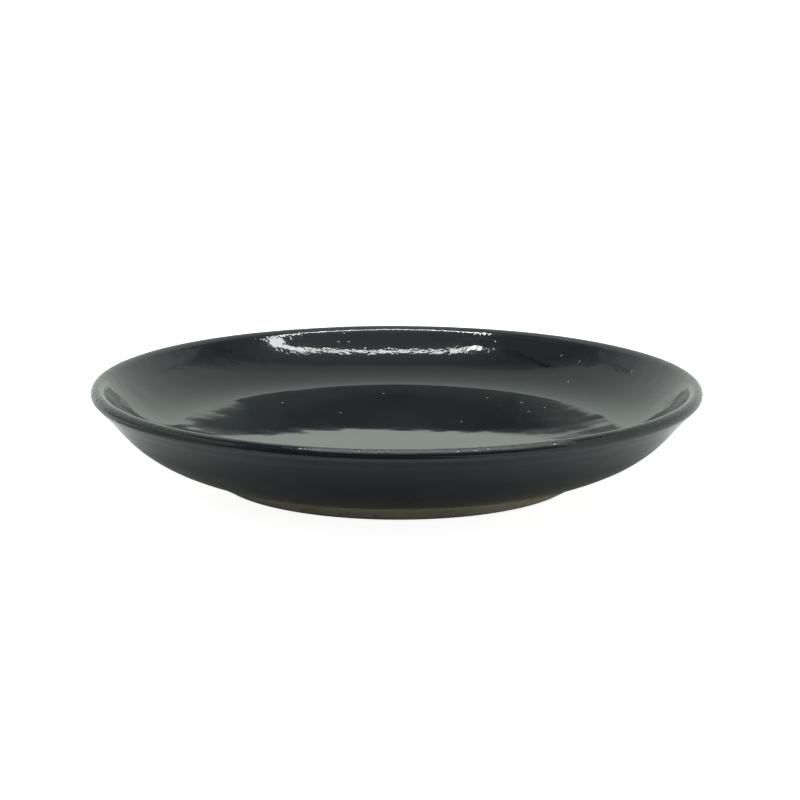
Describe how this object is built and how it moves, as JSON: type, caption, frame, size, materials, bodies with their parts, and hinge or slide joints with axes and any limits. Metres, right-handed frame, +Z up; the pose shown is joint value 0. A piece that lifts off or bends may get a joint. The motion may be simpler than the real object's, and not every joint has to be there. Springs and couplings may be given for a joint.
{
  "type": "soy sauce dish",
  "caption": "Small round dish of dark glazed stoneware with a rolled lip, a shallow well for dipping sauce and a low bare foot.",
  "frame": {"origin": "centre of the foot's contact face, on the table", "axes": "+Z up along the dish's axis of revolution, +X and +Y along the table"},
  "size_m": [0.1, 0.1, 0.016],
  "materials": {
    "bare_clay": "dry, smooth turned stoneware with no glaze",
    "dark_glaze": "glossy near-black glaze with fine pale specks"
  },
  "bodies": {
    "root": {"clay_body": "bare_clay", "foot_ring": "bare_clay", "inside_glaze": "dark_glaze", "outside_glaze": "dark_glaze"}
  },
  "joints": []
}
